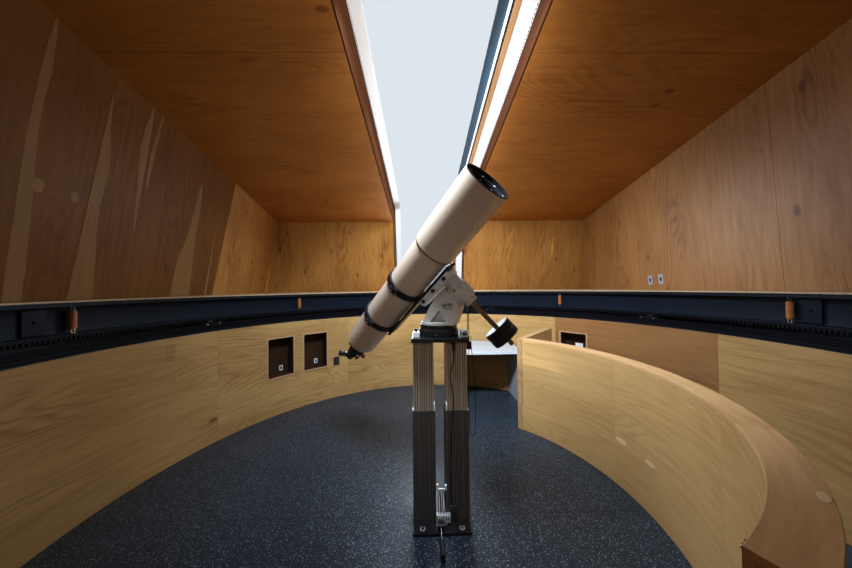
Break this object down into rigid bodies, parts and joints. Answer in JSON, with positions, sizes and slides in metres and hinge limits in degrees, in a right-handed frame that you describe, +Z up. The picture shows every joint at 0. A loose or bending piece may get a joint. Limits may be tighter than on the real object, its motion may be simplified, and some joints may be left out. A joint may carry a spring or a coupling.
{
  "type": "observatory dome building",
  "caption": "Round observatory with a hand-turned plywood-lined turret, sliding shutter, stair guard, rising pier and a refractor telescope.",
  "frame": {"origin": "on the ground under the centre of the round wall", "axes": "+Z up, +Y the way the roof slit faces, +X to the right of someone looking that way"},
  "size_m": [6.1001, 6.6359, 6.612],
  "materials": {
    "concrete": "matte",
    "cladding": "satin",
    "door_paint": "satin",
    "floor_rubber": "matte, pale specks",
    "plywood": "satin oil",
    "ring_steel": "satin",
    "white_trim": "satin",
    "column_bronze": "satin anodised",
    "black_metal": "satin",
    "cast_grey": "satin",
    "tube_cream": "satin"
  },
  "bodies": {
    "building": {"ground_slab": "concrete", "drum_wall_1": "cladding", "drum_wall_2": "cladding", "drum_wall_3": "cladding", "drum_wall_4": "cladding", "drum_wall_5": "cladding", "drum_wall_6": "cladding", "door_frame": "door_paint", "entrance_door": "door_paint", "observing_floor_left": "floor_rubber", "observing_floor_right": "floor_rubber", "stair_guard": "plywood", "stair_guard_cap": "plywood", "stair_guard_return": "plywood", "curb_rail": "ring_steel", "desk": "white_trim", "pier_base_plate": "black_metal", "pier_lever": "black_metal", "pier_lower_column_left": "column_bronze", "pier_lower_column_right": "column_bronze"},
    "turret": {"turret_ring_left": "ring_steel", "turret_ring_right": "ring_steel", "turret_base_left": "plywood", "turret_base_right": "plywood", "turret_wall_left": "cladding", "turret_wall_right": "cladding", "turret_wall_near": "cladding", "turret_wall_far": "cladding", "turret_roof_left": "cladding", "turret_roof_right": "cladding", "slit_upstand_left": "white_trim", "slit_upstand_right": "white_trim", "shutter_rail_near": "ring_steel", "shutter_rail_far": "ring_steel"},
    "shutter": {"shutter": "cladding"},
    "pier_head": {"pier_upper_column_left": "column_bronze", "pier_upper_column_right": "column_bronze", "pier_top_plate": "black_metal", "mount_base": "black_metal", "mount_casting": "cast_grey"},
    "polar": {"polar_head": "cast_grey", "counterweight_shaft": "cast_grey", "counterweight": "black_metal"},
    "telescope": {"saddle": "white_trim", "tube_rings": "black_metal", "tube": "tube_cream", "dew_shield": "tube_cream", "objective_lens": "black_metal", "focuser": "black_metal", "eyepiece": "black_metal"}
  },
  "joints": [
    {"name": "turret_spin", "type": "hinge", "parent": "building", "child": "turret", "pos_m": [0, 0, 4.065], "axis": [0, 0, 1], "continuous": true},
    {"name": "shutter_slide", "type": "slide", "parent": "turret", "child": "shutter", "axis": [-1, 0, 0], "range_m": [0, 0.95]},
    {"name": "pier_lift", "type": "slide", "parent": "building", "child": "pier_head", "axis": [0, 0, 1], "range_m": [-0.3, 0.2]},
    {"name": "polar_turn", "type": "hinge", "parent": "pier_head", "child": "polar", "pos_m": [0.149, -0.059, 4.333], "axis": [0.6859, -0.2537, 0.682], "range_deg": [-45, 45]},
    {"name": "declination_turn", "type": "hinge", "parent": "polar", "child": "telescope", "pos_m": [0.149, -0.059, 4.333], "axis": [0.6688, -0.1494, -0.7283], "range_deg": [-45, 45]}
  ]
}
